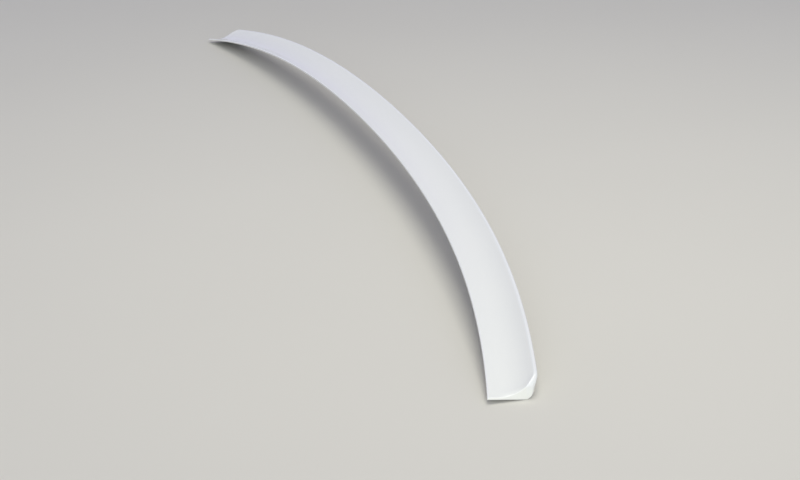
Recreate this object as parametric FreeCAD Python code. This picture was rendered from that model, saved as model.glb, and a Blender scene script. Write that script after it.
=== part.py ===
"""Rear window spoiler lip: one moulded strip that is bonded along its foot.

Millimetres. X runs along the strip, +Y points forward and +Z up. The origin is the foot of the leading edge in
the middle of the span. Both halves are alike. Across the strip, sizes are given as a distance behind the
leading edge and a height.
"""
import FreeCAD, Part
import math
import os

# Plan form of the strip, seen from above
SPAN = 1034.5               # from end to end
SWEEP = 63.4                # how far the ends lie ahead of the middle
SWEEP_SQUARE_SHARE = 0.777  # share of the sweep that grows with the square of the way out, the rest with the fourth
CHORD = 35.0                # leading edge to trailing edge in the middle
CHORD_END_GAIN = 1.5        # what the chord gains towards the ends

# Seat of the foot
CROWN = 32.5                # how far the ends lie below the middle
CROWN_SQUARE_SHARE = 0.459  # share of the crown that grows with the square of the way out, the rest with the fourth
SEAT_SLOPE = 7.0            # fall of the seat towards the back, in degrees

# Front flange, which lies flat on the seat
FLANGE_THICKNESS = 1.8      # from the foot to the top
FLANGE_WIDTH = 20.0         # from the leading edge to the corner of the bend
LEADING_ROUND = 0.8         # round along the top of the leading edge

# Kicked-up tail
LIFT = 6.9                  # height of the trailing edge over the leading edge in the middle
LIFT_END_GAIN = 2.2         # what the lift gains towards the ends
BEND_RADIUS = 32.0          # hollow bend between the flange and the tail
BEND_SHARE = 0.9            # share of the ramp up to the trailing edge that the bend takes at most
NOSE_RADIUS = 1.8           # round of the trailing edge
REAR_LEAN = 16.0            # how far the rear face leans back from upright, in degrees
FOOT_RADIUS = 5.0           # round between the rear face and the foot

# Ends
END_ROUND = 0.6             # round of the rim of each end face
CORNER_REACH = 11.5         # length at each end over which the tail's corner is rounded off
CORNER_CUT = 4.1            # what the rounding takes off the tail at the end, from its chord and from its lift
CORNER_BEND_SHARE = 0.5     # share of that by which the hollow bend comes forward
CORNER_NOSE_GAIN = 1.5      # what the radius of the trailing edge gains there

# Shallow channel in the foot, which sets the depth of the adhesive
CHANNEL_SETBACK = 4.5       # rim left along the leading edge
CHANNEL_WIDTH = 14.0
CHANNEL_DEPTH = 0.6
CHANNEL_END_RIM = 14.0      # rim left at each end
CHANNEL_OVERRUN = 2.0       # what the cutter reaches below the foot

# Sections that the surfaces run through, and pieces that a round is made of
STATIONS = 9                # from end to end, between the rounded corners
CORNER_STATIONS = 4         # in each rounded corner
RIM_STATIONS = 4            # in the round of each end face's rim
LEADING_PIECES = 2
BEND_PIECES = 1
NOSE_PIECES = 3
FOOT_PIECES = 2

HALF = SPAN / 2
SLOPE = math.radians(SEAT_SLOPE)
LEAN = math.radians(REAR_LEAN)
UP = math.pi / 2


def outward(x, square_share):
    """Growth from 0 in the middle to 1 at an end, part with the square and the rest with the fourth power."""
    u = x / HALF
    return square_share * u**2 + (1 - square_share) * u**4


def into_corner(x):
    """Way into the rounded corner of the tail: 0 up to its start, 1 at the end."""
    return max(0.0, abs(x) - HALF + CORNER_REACH) / CORNER_REACH


def corner_cut(x):
    """What the rounding of the tail's corner takes off."""
    return CORNER_CUT * into_corner(x)**3


def nose_radius(x):
    """Radius of the trailing edge, which grows in the rounded corner."""
    return NOSE_RADIUS + CORNER_NOSE_GAIN * into_corner(x)**2


def rim_inset(x):
    """How far the round of an end face's rim has drawn the section in, along a quarter circle."""
    into = max(0.0, abs(x) - HALF + END_ROUND)
    return END_ROUND - math.sqrt(max(0.0, END_ROUND**2 - into**2))


def leading_y(x):
    """Plan position of the leading edge."""
    return SWEEP * outward(x, SWEEP_SQUARE_SHARE)


def seat_z(x):
    """Height of the seat under the leading edge."""
    return -CROWN * outward(x, CROWN_SQUARE_SHARE)


def chord(x):
    """Leading edge to trailing edge, before the corner is rounded off."""
    return CHORD + CHORD_END_GAIN * (x / HALF)**4


def lift(x):
    """Height of the trailing edge over the leading edge, before the corner is rounded off."""
    return LIFT + LIFT_END_GAIN * (x / HALF)**2


def place(x, across):
    """Put a point of a section, given as distance behind the leading edge and height over its foot, in space."""
    behind, height = across
    return FreeCAD.Vector(x, leading_y(x) - behind, seat_z(x) + height)


def moved(start, angle, distance):
    """Point at a distance from another, in a direction that is measured from straight back towards up."""
    return (start[0] + distance * math.cos(angle), start[1] + distance * math.sin(angle))


def crossing(a, a_angle, b, b_angle):
    """Point where a line through a meets a line through b."""
    run = (b[0] - a[0]) * math.sin(b_angle) - (b[1] - a[1]) * math.cos(b_angle)
    return moved(a, a_angle, run / math.sin(b_angle - a_angle))


def tangent_angle(start, centre, radius):
    """Direction from a point to where it grazes a circle, on the left of it, or on the right for a negative radius."""
    back, height = centre[0] - start[0], centre[1] - start[1]
    return math.atan2(height, back) + math.asin(radius / math.hypot(back, height))


def arc_points(centre, radius, start, end, pieces):
    """Points along an arc: the ends of its pieces and the middle of each, in order."""
    steps = 2 * pieces
    return [moved(centre, start + (end - start) * i / steps, radius) for i in range(steps + 1)]


def rounded_corner(corner, in_angle, out_angle, radius, pieces, inset):
    """Points of the arc that rounds the corner between two directions of travel, drawn in towards the solid."""
    side = math.copysign(UP, out_angle - in_angle)
    to_centre = radius / math.cos((out_angle - in_angle) / 2)
    centre = moved(corner, (in_angle + out_angle) / 2 + side, to_centre)
    return arc_points(centre, radius + math.copysign(inset, side), in_angle - side, out_angle - side, pieces)


def section(x):
    """Closed section of the strip: upright leading edge, flange, hollow bend, tail, nose, rear face and foot."""
    foot_front = (0.0, 0.0)
    top_front = (0.0, FLANGE_THICKNESS)
    bend = moved(top_front, -SLOPE, (FLANGE_WIDTH - CORNER_BEND_SHARE * corner_cut(x)) / math.cos(SLOPE))

    back, top = chord(x), FLANGE_THICKNESS + lift(x)
    full_nose = (back - NOSE_RADIUS, top - NOSE_RADIUS)
    heel = crossing(moved(full_nose, -LEAN, NOSE_RADIUS), UP - LEAN, foot_front, -SLOPE)
    radius = nose_radius(x)
    nose = (back - corner_cut(x) - radius, top - corner_cut(x) - radius)
    ramp = tangent_angle(bend, nose, radius)
    ramp_length = math.sqrt(math.dist(bend, nose)**2 - radius**2)
    hollow = min(BEND_RADIUS, BEND_SHARE * ramp_length / math.tan((ramp + SLOPE) / 2))
    rear = tangent_angle(heel, nose, -radius)
    inset = rim_inset(x)
    start = crossing((inset, 0.0), UP, moved(foot_front, UP - SLOPE, inset), -SLOPE)

    rounds = (
        rounded_corner(top_front, UP, -SLOPE, LEADING_ROUND, LEADING_PIECES, inset),
        rounded_corner(bend, -SLOPE, ramp, hollow, BEND_PIECES, inset),
        arc_points(nose, radius - inset, ramp + UP, rear - UP, NOSE_PIECES),
        rounded_corner(heel, rear - math.pi, -math.pi - SLOPE, FOOT_RADIUS, FOOT_PIECES, inset),
    )
    edges = []
    previous = place(x, start)
    for points in rounds:
        spots = [place(x, point) for point in points]
        edges.append(Part.makeLine(previous, spots[0]))
        edges += [Part.Arc(*spots[i:i + 3]).toShape() for i in range(0, len(spots) - 2, 2)]
        previous = spots[-1]
    edges.append(Part.makeLine(previous, place(x, start)))
    return Part.Wire(edges)


def channel_section(x):
    """Section of the cutter for the adhesive channel."""
    front = moved((0.0, 0.0), -SLOPE, CHANNEL_SETBACK)
    back = moved(front, -SLOPE, CHANNEL_WIDTH)
    corners = [
        moved(front, UP - SLOPE, CHANNEL_DEPTH),
        moved(back, UP - SLOPE, CHANNEL_DEPTH),
        moved(back, UP - SLOPE, -CHANNEL_OVERRUN),
        moved(front, UP - SLOPE, -CHANNEL_OVERRUN),
    ]
    return Part.makePolygon([place(x, corner) for corner in corners + corners[:1]])


def evenly(start, end, count):
    """Positions that are evenly spaced from one to another."""
    return [start + (end - start) * i / (count - 1) for i in range(count)]


def mirrored(positions):
    """The same positions on the other half of the strip."""
    return [-x for x in reversed(positions)]


def lofted(profile, positions):
    """Smooth solid through the sections at some positions."""
    return Part.makeLoft([profile(x) for x in positions], True, False)


corner_start = HALF - CORNER_REACH
rim_start = HALF - END_ROUND
corner = evenly(corner_start, rim_start, CORNER_STATIONS)
rim = [rim_start + END_ROUND * math.sin(turn) for turn in evenly(0.0, UP, RIM_STATIONS)]
channel_end = HALF - CHANNEL_END_RIM

strip = lofted(section, evenly(-corner_start, corner_start, STATIONS))
strip = strip.fuse([lofted(section, part) for end in (corner, rim) for part in (end, mirrored(end))])
strip = strip.cut(lofted(channel_section, evenly(-channel_end, channel_end, STATIONS)))

os.makedirs("parts", exist_ok=True)
strip.exportStep("parts/spoiler_lip.step")
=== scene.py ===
"""Rear window spoiler lip in gloss white body paint, on a pale studio floor.

The strip is one moulded piece. Its mesh is built from the same section as the solid, finely enough that the
clear coat reflects smoothly along the bow, and it replaces the solid in the frame. The strip's sizes are in
millimetres and are turned to metres where a vertex is made. The studio and the camera are in metres.
"""

import logging
import math
from dataclasses import dataclass, field
from enum import Enum
from typing import Any, Iterable

import bmesh
import bpy
from mathutils import Matrix, Vector


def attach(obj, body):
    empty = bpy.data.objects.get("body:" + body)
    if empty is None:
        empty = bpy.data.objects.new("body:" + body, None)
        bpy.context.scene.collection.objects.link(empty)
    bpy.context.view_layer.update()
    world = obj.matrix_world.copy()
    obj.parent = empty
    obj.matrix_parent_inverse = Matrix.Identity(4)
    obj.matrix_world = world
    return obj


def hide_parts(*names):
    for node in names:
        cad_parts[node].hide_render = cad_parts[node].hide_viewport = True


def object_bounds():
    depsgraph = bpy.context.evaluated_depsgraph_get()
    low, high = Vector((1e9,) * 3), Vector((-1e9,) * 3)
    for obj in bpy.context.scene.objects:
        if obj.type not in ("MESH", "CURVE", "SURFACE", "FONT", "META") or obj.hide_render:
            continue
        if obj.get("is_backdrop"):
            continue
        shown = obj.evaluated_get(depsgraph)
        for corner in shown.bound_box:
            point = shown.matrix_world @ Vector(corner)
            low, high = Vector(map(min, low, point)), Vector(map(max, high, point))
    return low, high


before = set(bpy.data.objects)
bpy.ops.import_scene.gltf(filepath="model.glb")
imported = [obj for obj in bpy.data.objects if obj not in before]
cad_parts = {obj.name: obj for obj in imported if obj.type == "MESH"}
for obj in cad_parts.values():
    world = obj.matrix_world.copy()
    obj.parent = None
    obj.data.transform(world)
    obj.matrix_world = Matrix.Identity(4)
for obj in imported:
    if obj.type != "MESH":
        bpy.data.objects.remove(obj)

log = logging.getLogger("spoiler_lip")

MM = 0.001
UP = math.pi / 2

# Sockets of a colour mix, by number, because they share their names with those of its other types
MIX_SHARE = 0
MIX_FROM = 6
MIX_TO = 7
MIX_RESULT = 2

Point = tuple[float, float]


def linear(code: str) -> tuple[float, float, float, float]:
    """Turn an sRGB hex colour into the linear colour that shaders and lamps take.

    Args:
        code: colour as six hex digits, with or without a leading hash.

    Returns:
        Red, green, blue and an alpha of 1.
    """
    digits = code.lstrip("#")
    parts = [int(digits[i:i + 2], 16) / 255 for i in (0, 2, 4)]
    red, green, blue = [p / 12.92 if p <= 0.04045 else ((p + 0.055) / 1.055) ** 2.4 for p in parts]
    return red, green, blue, 1.0


def pattern_scale(size_mm: float) -> float:
    """Scale of a texture whose pattern has a real size in millimetres."""
    return 1 / (size_mm * MM)


def add_node(tree: bpy.types.NodeTree, kind: str, inputs: dict[str | int, Any] | None = None,
             **settings: Any) -> bpy.types.Node:
    """Add one node with its settings, and the links and values of its inputs.

    Args:
        tree: node tree that gets the node.
        kind: the node's type name.
        inputs: name or number of an input, and the socket that feeds it or the value that it has.
        settings: properties of the node.

    Returns:
        The new node.
    """
    node = tree.nodes.new(kind)
    for name, value in settings.items():
        setattr(node, name, value)
    for name, value in (inputs or {}).items():
        if isinstance(value, bpy.types.NodeSocket):
            tree.links.new(value, node.inputs[name])
        else:
            node.inputs[name].default_value = value
    return node


def new_material(name: str) -> tuple[bpy.types.Material, bpy.types.NodeTree]:
    """Make an empty material.

    Args:
        name: the material's name.

    Returns:
        The material and its node tree.
    """
    material = bpy.data.materials.new(name)
    material.use_nodes = True
    material.node_tree.nodes.clear()
    return material, material.node_tree


class Face(Enum):
    """Which finish a face of the strip has: its place among the material slots."""

    PAINTED = 0
    PRIMED = 1


class Track(Enum):
    """Names of the values that the mesh carries from its section to the finishes."""

    # Tight edges: a thinner base coat, plus painted shade and a painted cool reflection
    EDGE = "thin_edge"
    FILM = "road_film"
    MASK = "overspray"


@dataclass(frozen=True)
class GlossBodyPaint:
    """Two-coat body paint on moulded ABS: a solid white base coat under gloss clear coat, sprayed and baked.

    The white is deep and even, the clear coat mirrors what stands near the horizon, and its faint orange peel
    ripples the edges of reflections. Along the tight edges the base coat is thinner and a trace of the grey
    primer cools it. The white there is also painted shade with a painted cool reflection, which tones down the
    highlight on the rims. A little road film gathers along the foot.
    """

    white: str = "#EDEEE9"
    cloud_white: str = "#E9EBE7"
    # White of the tight edges: a thinner base coat over primer, plus painted shade and a painted cool
    # reflection that tone down the rim highlight
    edge_thinned_and_shaded_white: str = "#EAECEB"
    film_grey: str = "#C9C7C0"
    roughness: float = 0.42
    specular_level: float = 0.3
    clear_coat_roughness: float = 0.035
    clear_coat_ior: float = 1.5
    cloud_mm: float = 90.0        # width of the spray fan's passes
    run_mm: float = 7.0           # width of the runs that water leaves in the road film
    nib_mm: float = 2.4           # spacing of dust nibs in the clear coat
    nib_core: float = 0.03        # radius of a nib's core, as a share of the spacing
    nib_rim: float = 0.10         # radius at which a nib has faded out, as a share of the spacing
    nib_dulling: float = 0.10     # what a nib adds to the roughness
    peel_mm: float = 3.2          # width of the orange peel's ripples
    peel_depth_mm: float = 0.004

    def build(self) -> bpy.types.Material:
        """Build the paint.

        Returns:
            The material.
        """
        material, tree = new_material("gloss_white_car_paint_sprayed")
        place = add_node(tree, "ShaderNodeTexCoord").outputs["Object"]

        # Cloudiness of the sprayed base coat
        cloud = add_node(tree, "ShaderNodeTexNoise", {
            "Vector": place,
            "Scale": pattern_scale(self.cloud_mm),
            "Detail": 2.0,
        })
        base = add_node(tree, "ShaderNodeMix", {
            MIX_SHARE: cloud.outputs["Fac"],
            MIX_FROM: linear(self.white),
            MIX_TO: linear(self.cloud_white),
        }, data_type="RGBA")

        # The base coat is thinner where it pulls back from a tight edge, and the primer cools it there. This
        # mix also paints shade and a cool reflection on the edges, which tones down the highlight on the rims.
        edge = add_node(tree, "ShaderNodeAttribute", attribute_name=Track.EDGE.value)
        thinned_and_shaded = add_node(tree, "ShaderNodeMix", {
            MIX_SHARE: edge.outputs["Fac"],
            MIX_FROM: base.outputs[MIX_RESULT],
            MIX_TO: linear(self.edge_thinned_and_shaded_white),
        }, data_type="RGBA")

        # Road film, broken up by the run of water along the foot
        film = add_node(tree, "ShaderNodeAttribute", attribute_name=Track.FILM.value)
        runs = add_node(tree, "ShaderNodeTexNoise", {
            "Vector": place,
            "Scale": pattern_scale(self.run_mm),
            "Detail": 4.0,
        })
        amount = add_node(tree, "ShaderNodeMath", {
            0: film.outputs["Fac"],
            1: runs.outputs["Fac"],
        }, operation="MULTIPLY")
        soiled = add_node(tree, "ShaderNodeMix", {
            MIX_SHARE: amount.outputs[0],
            MIX_FROM: thinned_and_shaded.outputs[MIX_RESULT],
            MIX_TO: linear(self.film_grey),
        }, data_type="RGBA")

        # Road film is dull, and dust nibs in the clear coat catch the light, drawn coarser than the real 0.2 mm
        nibs = add_node(tree, "ShaderNodeTexVoronoi", {
            "Vector": place,
            "Scale": pattern_scale(self.nib_mm),
            "Randomness": 1.0,
        })
        speck = add_node(tree, "ShaderNodeMapRange", {
            "Value": nibs.outputs["Distance"],
            "From Min": self.nib_core,
            "From Max": self.nib_rim,
            "To Min": self.nib_dulling,
            "To Max": 0.0,
        })
        dull = add_node(tree, "ShaderNodeMath", {0: amount.outputs[0], 1: speck.outputs[0]}, operation="ADD")
        rough = add_node(tree, "ShaderNodeMath", {0: dull.outputs[0], 1: self.roughness}, operation="ADD")

        # Orange peel of the clear coat: the real 1 to 3 mm ripple, at the coarse end so that it shows
        peel = add_node(tree, "ShaderNodeTexNoise", {
            "Vector": place,
            "Scale": pattern_scale(self.peel_mm),
            "Detail": 1.0,
        })
        bump = add_node(tree, "ShaderNodeBump", {
            "Height": peel.outputs["Fac"],
            "Strength": 1.0,
            "Distance": self.peel_depth_mm * MM,
        })

        shader = add_node(tree, "ShaderNodeBsdfPrincipled", {
            "Base Color": soiled.outputs[MIX_RESULT],
            "Roughness": rough.outputs[0],
            "Specular IOR Level": self.specular_level,
            "Normal": bump.outputs[0],
            "Coat Weight": 1.0,
            "Coat Roughness": self.clear_coat_roughness,
            "Coat IOR": self.clear_coat_ior,
            "Coat Normal": bump.outputs[0],
        })
        add_node(tree, "ShaderNodeOutputMaterial", {"Surface": shader.outputs[0]})
        return material


@dataclass(frozen=True)
class PrimedAbs:
    """Moulded ABS foot, keyed and primed grey for the adhesive, with white overspray along its rim.

    The primer is dead matt, the tool's spark-eroded grain shows through it, and the white fades in from the
    edges.
    """

    primer: str = "#8E9092"
    primer_light: str = "#9C9E9F"
    overspray: str = "#DADBD9"
    roughness: float = 0.72
    ior: float = 1.53
    flow_mm: float = 45.0         # width of the patches in the primer's film
    ragged_mm: float = 1.4        # width of the ragged steps in the overspray's edge
    spray_start: float = 0.75     # sum of cover and raggedness at which the overspray begins to show
    spray_full: float = 1.25      # sum at which it covers the primer
    grain_mm: float = 0.9         # width of the tool's grain
    grain_depth_mm: float = 0.03
    grain_strength: float = 0.7

    def build(self) -> bpy.types.Material:
        """Build the primed plastic.

        Returns:
            The material.
        """
        material, tree = new_material("primed_abs_moulded")
        place = add_node(tree, "ShaderNodeTexCoord").outputs["Object"]

        # Uneven film of the primer
        flow = add_node(tree, "ShaderNodeTexNoise", {
            "Vector": place,
            "Scale": pattern_scale(self.flow_mm),
            "Detail": 3.0,
        })
        primer = add_node(tree, "ShaderNodeMix", {
            MIX_SHARE: flow.outputs["Fac"],
            MIX_FROM: linear(self.primer),
            MIX_TO: linear(self.primer_light),
        }, data_type="RGBA")

        # Overspray that creeps round the rim, ragged as spray is
        mask = add_node(tree, "ShaderNodeAttribute", attribute_name=Track.MASK.value)
        ragged = add_node(tree, "ShaderNodeTexNoise", {
            "Vector": place,
            "Scale": pattern_scale(self.ragged_mm),
            "Detail": 3.0,
        })
        spread = add_node(tree, "ShaderNodeMath", {
            0: ragged.outputs["Fac"],
            1: mask.outputs["Fac"],
        }, operation="ADD")
        white = add_node(tree, "ShaderNodeMapRange", {
            "Value": spread.outputs[0],
            "From Min": self.spray_start,
            "From Max": self.spray_full,
        })
        colour = add_node(tree, "ShaderNodeMix", {
            MIX_SHARE: white.outputs[0],
            MIX_FROM: primer.outputs[MIX_RESULT],
            MIX_TO: linear(self.overspray),
        }, data_type="RGBA")

        # Spark-eroded grain of the tool, about 0.3 mm on the real part and drawn coarser so that it shows
        grain = add_node(tree, "ShaderNodeTexNoise", {
            "Vector": place,
            "Scale": pattern_scale(self.grain_mm),
            "Detail": 2.0,
        })
        bump = add_node(tree, "ShaderNodeBump", {
            "Height": grain.outputs["Fac"],
            "Strength": self.grain_strength,
            "Distance": self.grain_depth_mm * MM,
        })

        shader = add_node(tree, "ShaderNodeBsdfPrincipled", {
            "Base Color": colour.outputs[MIX_RESULT],
            "Roughness": self.roughness,
            "IOR": self.ior,
            "Normal": bump.outputs[0],
        })
        add_node(tree, "ShaderNodeOutputMaterial", {"Surface": shader.outputs[0]})
        return material


@dataclass(frozen=True)
class FloorPaint:
    """Matt emulsion on a studio floor: pale, faintly warm and even, with no gloss of its own."""

    pale: str = "#DDDBD3"
    pale_patch: str = "#D9D7CF"
    roughness: float = 0.85
    specular_level: float = 0.2
    patch_mm: float = 400.0       # width of the roller's patches

    def build(self) -> bpy.types.Material:
        """Build the floor's finish.

        Returns:
            The material.
        """
        material, tree = new_material("matt_emulsion_rolled")
        place = add_node(tree, "ShaderNodeTexCoord").outputs["Object"]
        patch = add_node(tree, "ShaderNodeTexNoise", {
            "Vector": place,
            "Scale": pattern_scale(self.patch_mm),
            "Detail": 2.0,
        })
        colour = add_node(tree, "ShaderNodeMix", {
            MIX_SHARE: patch.outputs["Fac"],
            MIX_FROM: linear(self.pale),
            MIX_TO: linear(self.pale_patch),
        }, data_type="RGBA")
        shader = add_node(tree, "ShaderNodeBsdfPrincipled", {
            "Base Color": colour.outputs[MIX_RESULT],
            "Roughness": self.roughness,
            "Specular IOR Level": self.specular_level,
        })

        # Seen from below the floor is clear, so that the strip's foot shows
        side = add_node(tree, "ShaderNodeNewGeometry")
        clear = add_node(tree, "ShaderNodeBsdfTransparent")
        both = add_node(tree, "ShaderNodeMixShader", {
            0: side.outputs["Backfacing"],
            1: shader.outputs[0],
            2: clear.outputs[0],
        })
        add_node(tree, "ShaderNodeOutputMaterial", {"Surface": both.outputs[0]})
        return material


def moved(start: Point, angle: float, distance: float) -> Point:
    """Go from a point in a direction, measured from straight back towards up.

    Args:
        start: distance behind the leading edge and height.
        angle: direction in radians.
        distance: how far to go.

    Returns:
        The point that is reached.
    """
    return start[0] + distance * math.cos(angle), start[1] + distance * math.sin(angle)


def crossing(a: Point, a_angle: float, b: Point, b_angle: float) -> Point:
    """Find where two lines of a section meet.

    Args:
        a: a point of the first line.
        a_angle: the first line's direction.
        b: a point of the second line.
        b_angle: the second line's direction.

    Returns:
        The point where they meet.
    """
    run = (b[0] - a[0]) * math.sin(b_angle) - (b[1] - a[1]) * math.cos(b_angle)
    return moved(a, a_angle, run / math.sin(b_angle - a_angle))


def tangent_angle(start: Point, centre: Point, radius: float) -> float:
    """Find the direction from a point to where it grazes a circle.

    Args:
        start: the point.
        centre: the circle's centre.
        radius: the circle's radius, negative to graze it on the right.

    Returns:
        The direction in radians.
    """
    back, height = centre[0] - start[0], centre[1] - start[1]
    return math.atan2(height, back) + math.asin(radius / math.hypot(back, height))


def evenly(start: float, end: float, count: int) -> list[float]:
    """Space values evenly, both ends included.

    Args:
        start: first value.
        end: last value.
        count: number of values.

    Returns:
        The values.
    """
    return [start + (end - start) * i / (count - 1) for i in range(count)]


@dataclass(frozen=True)
class SectionPoint:
    """One point of the section, with what the finishes need to know of its place.

    A painted point counts as covered with overspray, because a primed face ends on it along the foot's rim.
    """

    at: Point
    face: Face
    edge: float = 0.0
    film: float = 0.0
    mask: float = 1.0


@dataclass
class SpoilerLip:
    """The moulded strip: its sizes in millimetres, its mesh and its finishes."""

    # Plan form, seen from above
    span: float = 1034.5
    sweep: float = 63.4                    # how far the ends lie ahead of the middle
    sweep_square_share: float = 0.777      # share of the sweep that grows with the square of the way out
    chord: float = 35.0                    # leading edge to trailing edge in the middle
    chord_end_gain: float = 1.5

    # Seat of the foot
    crown: float = 32.5                    # how far the ends lie below the middle
    crown_square_share: float = 0.459      # share of the crown that grows with the square of the way out
    slope: float = math.radians(7.0)       # fall towards the back

    # Front flange
    flange_thickness: float = 1.8
    flange_width: float = 20.0
    leading_round: float = 0.8

    # Kicked-up tail
    lift: float = 6.9                      # height of the trailing edge over the leading edge in the middle
    lift_end_gain: float = 2.2
    bend_radius: float = 32.0
    bend_share: float = 0.9                # share of the ramp that the bend takes at most
    nose_radius: float = 1.8
    lean: float = math.radians(16.0)       # how far the rear face leans back from upright
    foot_radius: float = 5.0

    # Ends
    end_round: float = 0.6
    corner_reach: float = 11.5             # length over which the tail's corner is rounded off
    corner_cut: float = 4.1                # what the rounding takes off the tail at the end
    corner_bend_share: float = 0.5         # share of that by which the bend comes forward
    corner_nose_gain: float = 1.5

    # Adhesive channel in the foot
    channel_setback: float = 4.5
    channel_width: float = 14.0
    channel_depth: float = 0.6
    channel_end_rim: float = 14.0

    # How far road film and overspray reach
    film_height: float = 1.1
    overspray_reach: float = 5.0

    # Sections along the span, steps along each round, and points on each straight stretch
    middle_stations: int = 181
    corner_stations: int = 17
    rim_stations: int = 8
    leading_steps: int = 10
    bend_steps: int = 24
    nose_steps: int = 16
    foot_steps: int = 14
    flange_points: int = 10
    tail_points: int = 8
    rear_points: int = 5
    foot_rear_points: int = 6
    channel_points: int = 9
    foot_front_points: int = 5

    # Points closer than this are one, and an edge that turns by more than this angle stays sharp
    weld_mm: float = 0.0001
    sharp_turn: float = math.radians(40)

    paint: GlossBodyPaint = field(default_factory=GlossBodyPaint)
    primer: PrimedAbs = field(default_factory=PrimedAbs)

    @property
    def half(self) -> float:
        """Half the span."""
        return self.span / 2

    def outward(self, x: float, square_share: float) -> float:
        """Growth from 0 in the middle to 1 at an end.

        Args:
            x: position along the span.
            square_share: share that grows with the square, the rest with the fourth power.

        Returns:
            The growth.
        """
        u = x / self.half
        return square_share * u**2 + (1 - square_share) * u**4

    def in_space(self, x: float, across: Point) -> Vector:
        """Put a point of the section in space.

        Args:
            x: position along the span.
            across: distance behind the leading edge and height over its foot.

        Returns:
            The place in metres.
        """
        y = self.sweep * self.outward(x, self.sweep_square_share) - across[0]
        z = across[1] - self.crown * self.outward(x, self.crown_square_share)
        return Vector((x, y, z)) * MM

    def into_corner(self, x: float) -> float:
        """Way into the rounded corner of the tail: 0 up to its start, 1 at the end."""
        return max(0.0, abs(x) - self.half + self.corner_reach) / self.corner_reach

    def inset_at(self, x: float) -> float:
        """How far the round of the end face's rim has drawn the section in at a position."""
        into = max(0.0, abs(x) - self.half + self.end_round)
        return self.end_round - math.sqrt(max(0.0, self.end_round**2 - into**2))

    def corner_arc(self, corner: Point, in_angle: float, out_angle: float, radius: float, inset: float,
                   steps: int) -> list[Point]:
        """Round a corner of the section.

        Args:
            corner: the sharp corner.
            in_angle: direction of travel before it.
            out_angle: direction of travel after it.
            radius: radius of the round.
            inset: how far the section is drawn in.
            steps: number of steps along the arc.

        Returns:
            Points along the arc.
        """
        side = math.copysign(UP, out_angle - in_angle)
        to_centre = radius / math.cos((out_angle - in_angle) / 2)
        centre = moved(corner, (in_angle + out_angle) / 2 + side, to_centre)
        reach = radius + math.copysign(inset, side)
        return [moved(centre, turn - side, reach) for turn in evenly(in_angle, out_angle, steps + 1)]

    def film_at(self, at: Point) -> float:
        """How much road film a painted point carries: full along the foot, none above the film's height."""
        height = at[1] + at[0] * math.tan(self.slope)
        return max(0.0, 1.0 - height / self.film_height) ** 2

    def mask_at(self, along_foot: float, foot_length: float, x: float) -> float:
        """How much overspray a point of the foot carries: full on its rim, none inside.

        Args:
            along_foot: distance from the leading edge along the foot.
            foot_length: length of the foot along the section.
            x: position along the span.

        Returns:
            Share from 0 to 1.
        """
        to_rim = min(along_foot, foot_length - along_foot, self.half - abs(x))
        return max(0.0, 1.0 - to_rim / self.overspray_reach)

    def section(self, x: float, pocket: float) -> list[SectionPoint]:
        """Section of the strip, up the leading edge, over the top, down the rear face and back along the foot.

        Args:
            x: position along the span.
            pocket: depth of the adhesive channel there.

        Returns:
            Its points in order.
        """
        # What the rounded corner takes off, the nose's radius there, and the bend's corner behind the flange
        cut = self.corner_cut * self.into_corner(x)**3
        radius = self.nose_radius + self.corner_nose_gain * self.into_corner(x)**2
        top_front = (0.0, self.flange_thickness)
        flat = (self.flange_width - self.corner_bend_share * cut) / math.cos(self.slope)
        bend = moved(top_front, -self.slope, flat)

        # Heel where the whole tail puts it, and the nose, drawn in where the tail's corner is rounded off
        u = x / self.half
        tail_chord = self.chord + self.chord_end_gain * u**4
        tail_top = self.flange_thickness + self.lift + self.lift_end_gain * u**2
        full_nose = (tail_chord - self.nose_radius, tail_top - self.nose_radius)
        rear_line = moved(full_nose, -self.lean, self.nose_radius)
        heel = crossing(rear_line, UP - self.lean, (0.0, 0.0), -self.slope)
        nose = (tail_chord - cut - radius, tail_top - cut - radius)

        # Ramp up to the nose with its bend, the rear face, and the foot of the leading edge
        ramp = tangent_angle(bend, nose, radius)
        ramp_length = math.sqrt(math.dist(bend, nose)**2 - radius**2)
        widest = self.bend_share * ramp_length / math.tan((ramp + self.slope) / 2)
        bend_radius = min(self.bend_radius, widest)
        rear = tangent_angle(heel, nose, -radius)
        inset = self.inset_at(x)
        start = crossing((inset, 0.0), UP, moved((0.0, 0.0), UP - self.slope, inset), -self.slope)

        # Rounds in their order, then the points along them and on the straight stretches between
        leading = self.corner_arc(top_front, UP, -self.slope, self.leading_round, inset, self.leading_steps)
        hollow = self.corner_arc(bend, -self.slope, ramp, bend_radius, inset, self.bend_steps)
        turns = evenly(ramp + UP, rear - UP, self.nose_steps + 1)
        tip = [moved(nose, turn, radius - inset) for turn in turns]
        under = -math.pi - self.slope
        foot = self.corner_arc(heel, rear - math.pi, under, self.foot_radius, inset, self.foot_steps)
        points = [SectionPoint(start, Face.PAINTED, film=1.0)]
        points += self.painted(leading, edge=1.0)
        points += self.between(leading[-1], hollow[0], self.flange_points)
        points += self.painted(hollow)
        points += self.between(hollow[-1], tip[0], self.tail_points)
        points += self.painted(tip, edge=1.0)
        points += self.between(tip[-1], foot[0], self.rear_points)
        points += self.painted(foot)
        return points + self.foot_points(x, start, foot[-1], pocket)

    def painted(self, spots: list[Point], edge: float = 0.0) -> list[SectionPoint]:
        """Painted points at some spots of the section.

        Args:
            spots: the spots.
            edge: how much thinner the base coat is there, and how much painted shade and cool reflection the
                edge takes, from 0 to 1.

        Returns:
            The points.
        """
        return [SectionPoint(at, Face.PAINTED, edge, self.film_at(at)) for at in spots]

    def between(self, start: Point, end: Point, count: int) -> list[SectionPoint]:
        """Painted points on a straight stretch of the section, without its ends.

        Args:
            start: where the stretch begins.
            end: where it ends.
            count: number of points between.

        Returns:
            The points.
        """
        shares = evenly(0.0, 1.0, count + 2)[1:-1]
        back, height = end[0] - start[0], end[1] - start[1]
        return self.painted([(start[0] + back * s, start[1] + height * s) for s in shares])

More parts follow.
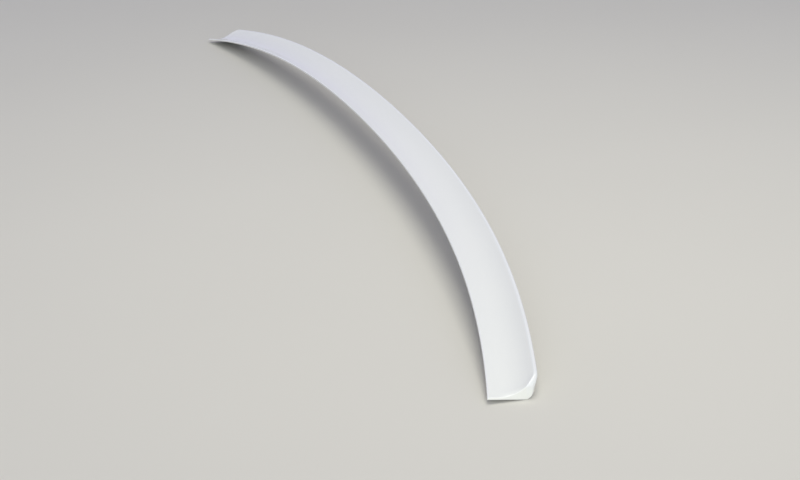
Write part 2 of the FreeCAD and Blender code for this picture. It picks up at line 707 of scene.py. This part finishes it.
    def foot_points(self, x: float, start: Point, end: Point, pocket: float) -> list[SectionPoint]:
        """Points along the primed foot, from the rear to the leading edge, over the adhesive channel.

        Args:
            x: position along the span.
            start: foot of the leading edge.
            end: where the round of the rear foot runs out.
            pocket: depth of the channel there.

        Returns:
            The points, without both ends.
        """
        length = math.dist(start, end)
        front = self.channel_setback - start[0]
        back = front + self.channel_width
        depths = [(s, 0.0) for s in evenly(length, back, self.foot_rear_points)[1:]]
        depths += [(s, pocket) for s in evenly(back, front, self.channel_points)]
        depths += [(s, 0.0) for s in evenly(front, 0.0, self.foot_front_points)[:-1]]
        spots = [(s, moved(moved(start, -self.slope, s), UP - self.slope, d)) for s, d in depths]
        return [SectionPoint(at, Face.PRIMED, mask=self.mask_at(s, length, x)) for s, at in spots]

    def stations(self) -> list[tuple[float, float]]:
        """Positions of the sections along the span, each with the channel's depth there.

        Returns:
            Positions and depths in order, with two at each end of the channel.
        """
        inner = self.half - self.corner_reach
        rim = self.half - self.end_round
        channel = self.half - self.channel_end_rim
        side = evenly(inner, rim, self.corner_stations)[1:]
        side += [rim + self.end_round * math.sin(turn) for turn in evenly(0.0, UP, self.rim_stations)[1:]]
        whole = evenly(-inner, inner, self.middle_stations) + side + [-x for x in side]
        placed = [(x, self.channel_depth if abs(x) < channel else 0.0) for x in whole]
        placed += [(-channel, 0.0), (channel, self.channel_depth)]
        placed = sorted(placed)
        placed.insert(placed.index((-channel, 0.0)) + 1, (-channel, self.channel_depth))
        placed.insert(placed.index((channel, self.channel_depth)) + 1, (channel, 0.0))
        return placed

    def build(self) -> bpy.types.Object:
        """Build the strip's mesh and dress it.

        Returns:
            The strip.
        """
        rows = [(x, self.section(x, pocket)) for x, pocket in self.stations()]
        work = bmesh.new()
        layers = {track: work.verts.layers.float.new(track.value) for track in Track}
        rings = [[self.vertex(work, layers, x, point) for point in points] for x, points in rows]
        self.skin(work, rings, [point.face for point in rows[0][1]])
        bmesh.ops.remove_doubles(work, verts=work.verts, dist=self.weld_mm * MM)
        bmesh.ops.dissolve_degenerate(work, edges=work.edges, dist=self.weld_mm * MM)
        bmesh.ops.recalc_face_normals(work, faces=work.faces)
        mesh = bpy.data.meshes.new("spoiler_lip_strip")
        work.to_mesh(mesh)
        work.free()
        strip = bpy.data.objects.new("spoiler_lip_strip", mesh)
        bpy.context.scene.collection.objects.link(strip)
        self.dress(strip)
        return strip

    def vertex(self, work: bmesh.types.BMesh, layers: dict[Track, Any], x: float,
               point: SectionPoint) -> bmesh.types.BMVert:
        """Make one vertex with its values for the finishes.

        Args:
            work: mesh under construction.
            layers: where each value is kept.
            x: position along the span.
            point: point of the section.

        Returns:
            The vertex.
        """
        vertex = work.verts.new(self.in_space(x, point.at))
        vertex[layers[Track.EDGE]] = point.edge
        vertex[layers[Track.FILM]] = point.film
        vertex[layers[Track.MASK]] = point.mask
        return vertex

    def skin(self, work: bmesh.types.BMesh, rings: list[list[bmesh.types.BMVert]], faces: list[Face]) -> None:
        """Join the sections' rings with faces and close both ends.

        Args:
            work: mesh under construction.
            rings: vertices of each section.
            faces: finish of each point of a section.
        """
        count = len(faces)
        for near, far in zip(rings, rings[1:]):
            for i in range(count):
                j = (i + 1) % count
                face = work.faces.new((near[i], near[j], far[j], far[i]))
                primed = Face.PRIMED in (faces[i], faces[j])
                face.material_index = (Face.PRIMED if primed else Face.PAINTED).value
        for ring in (rings[0], rings[-1]):
            work.faces.new(ring).material_index = Face.PAINTED.value

    def dress(self, strip: bpy.types.Object) -> None:
        """Give the strip its finishes and smooth faces, and put it in the frame.

        Args:
            strip: the strip's object.
        """
        strip.data.materials.append(self.paint.build())
        strip.data.materials.append(self.primer.build())
        strip.data.polygons.foreach_set("use_smooth", [True] * len(strip.data.polygons))
        strip.data.set_sharp_from_angle(angle=self.sharp_turn)
        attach(strip, "root")
        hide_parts("spoiler_lip")


@dataclass(frozen=True)
class SoftBox:
    """One soft box: its place, what it points at, its size in metres, its power and its colour."""

    name: str
    place: tuple[float, float, float]
    target: tuple[float, float, float]
    width: float
    depth: float
    watts: float
    colour: str

    def build(self) -> bpy.types.Object:
        """Hang the soft box.

        Returns:
            The lamp.
        """
        data = bpy.data.lights.new(self.name, "AREA")
        data.shape = "RECTANGLE"
        data.size = self.width
        data.size_y = self.depth
        data.energy = self.watts
        data.color = linear(self.colour)[:3]
        lamp = bpy.data.objects.new(self.name, data)
        lamp.location = self.place
        aim = Vector(self.target) - Vector(self.place)
        lamp.rotation_euler = aim.to_track_quat("-Z", "Y").to_euler()
        bpy.context.scene.collection.objects.link(lamp)
        return lamp


@dataclass(frozen=True)
class WindowWall:
    """Broad light from one side, as from a wall of windows: even over the whole floor, with soft shadows.

    It is left out of reflections, so that it puts no bright patch in the clear coat from any side.
    """

    name: str
    aim: tuple[float, float, float]
    spread: float
    strength: float
    colour: str

    def build(self) -> bpy.types.Object:
        """Set up the light.

        Returns:
            The lamp.
        """
        data = bpy.data.lights.new(self.name, "SUN")
        data.angle = self.spread
        data.energy = self.strength
        data.color = linear(self.colour)[:3]
        lamp = bpy.data.objects.new(self.name, data)
        lamp.rotation_euler = Vector(self.aim).to_track_quat("-Z", "Y").to_euler()
        lamp.visible_glossy = False
        bpy.context.scene.collection.objects.link(lamp)
        return lamp


@dataclass
class Studio:
    """Pale floor, a soft box overhead, broad light from the near side and an even surround."""

    floor_size: float = 14.0
    floor_paint: FloorPaint = field(default_factory=FloorPaint)
    surround: str = "#D8D9EE"
    ambient: str = "#E3E2FF"
    ambient_strength: float = 0.35
    soft_box: SoftBox = SoftBox(
        name="overhead_soft_box",
        place=(-0.44, -0.08, 1.2),
        target=(-0.41, 0.0, 0.0),
        width=1.1,
        depth=0.8,
        watts=7.7,
        colour="#FFFDEF",
    )
    windows: WindowWall = WindowWall(
        name="near_side_windows",
        aim=(0.91, -0.25, -0.34),
        spread=math.radians(60),
        strength=2.18,
        colour="#FAFFF9",
    )

    def build(self, floor_height: float) -> None:
        """Set up the studio.

        Args:
            floor_height: height of the floor in metres.
        """
        self.lay_floor(floor_height)
        for light in (self.soft_box, self.windows):
            log.info("light %s", light.build().name)
        self.light_surround()
        bpy.context.scene.view_settings.view_transform = "Standard"

    def lay_floor(self, height: float) -> None:
        """Lay the floor.

        Args:
            height: its height in metres.
        """
        reach = self.floor_size / 2
        mesh = bpy.data.meshes.new("studio_floor")
        corners = [(-reach, -reach), (reach, -reach), (reach, reach), (-reach, reach)]
        mesh.from_pydata([(x, y, height) for x, y in corners], [], [(0, 1, 2, 3)])
        floor = bpy.data.objects.new("studio_floor", mesh)
        floor.data.materials.append(self.floor_paint.build())
        bpy.context.scene.collection.objects.link(floor)
        floor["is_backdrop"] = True

    def light_surround(self) -> None:
        """Light the surround: pale where it is seen or mirrored, dimmer as a light."""
        world = bpy.data.worlds.new("studio_surround")
        bpy.context.scene.world = world
        world.use_nodes = True
        tree = world.node_tree
        tree.nodes.clear()
        path = add_node(tree, "ShaderNodeLightPath")
        seen = add_node(tree, "ShaderNodeMath", {
            0: path.outputs["Is Camera Ray"],
            1: path.outputs["Is Glossy Ray"],
        }, operation="MAXIMUM")
        shown = add_node(tree, "ShaderNodeMath", {
            0: seen.outputs[0],
            1: path.outputs["Is Transmission Ray"],
        }, operation="MAXIMUM")
        light = add_node(tree, "ShaderNodeBackground", {
            "Color": linear(self.ambient),
            "Strength": self.ambient_strength,
        })
        backdrop = add_node(tree, "ShaderNodeBackground", {"Color": linear(self.surround), "Strength": 1.0})
        mix = add_node(tree, "ShaderNodeMixShader", {
            0: shown.outputs[0],
            1: light.outputs[0],
            2: backdrop.outputs[0],
        })
        add_node(tree, "ShaderNodeOutputWorld", {"Surface": mix.outputs[0]})


@dataclass(frozen=True)
class Camera:
    """Camera at the photograph's viewing angle, for an image of 800 by 480 pixels."""

    place: tuple[float, float, float] = (-1.4880, 0.4108, 0.4711)
    yaw: float = math.radians(16.425)
    pitch: float = math.radians(20.683)
    roll: float = math.radians(-0.12)
    focal_px: float = 1700.0
    image_width_px: float = 800.0
    sensor_mm: float = 36.0
    nearest: float = 0.05

    def build(self) -> bpy.types.Object:
        """Set up the camera.

        Returns:
            The camera.
        """
        ahead = Vector((math.cos(self.yaw), -math.sin(self.yaw), 0.0))
        level = Vector((-math.sin(self.yaw), -math.cos(self.yaw), 0.0))
        fall = Vector((0.0, 0.0, -1.0))
        look = ahead * math.cos(self.pitch) + fall * math.sin(self.pitch)
        down = fall * math.cos(self.pitch) - ahead * math.sin(self.pitch)
        right = level * math.cos(self.roll) + down * math.sin(self.roll)
        down = down * math.cos(self.roll) - level * math.sin(self.roll)
        data = bpy.data.cameras.new("photo_camera")
        data.sensor_width = self.sensor_mm
        data.lens = self.focal_px / self.image_width_px * self.sensor_mm
        data.clip_start = self.nearest
        camera = bpy.data.objects.new("photo_camera", data)
        turn = Matrix((right, -down, -look)).transposed()
        camera.matrix_world = Matrix.Translation(self.place) @ turn.to_4x4()
        bpy.context.scene.collection.objects.link(camera)
        bpy.context.scene.camera = camera
        return camera


def as_lists(corners: Iterable[Iterable[float]]) -> list[list[float]]:
    """Turn a box's corners into plain lists of numbers."""
    return [[float(value) for value in corner] for corner in corners]


def main() -> None:
    """Build the strip, the studio and the camera, with the floor at the height of the solid's lowest point."""
    logging.basicConfig(level=logging.INFO, format="%(name)s: %(message)s")
    solid_box = as_lists(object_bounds())
    strip = SpoilerLip().build()
    log.info("piece %s: %d faces", strip.name, len(strip.data.polygons))
    Studio().build(solid_box[0][2])
    Camera().build()
    bpy.context.view_layer.update()


if __name__ == "__main__":
    main()
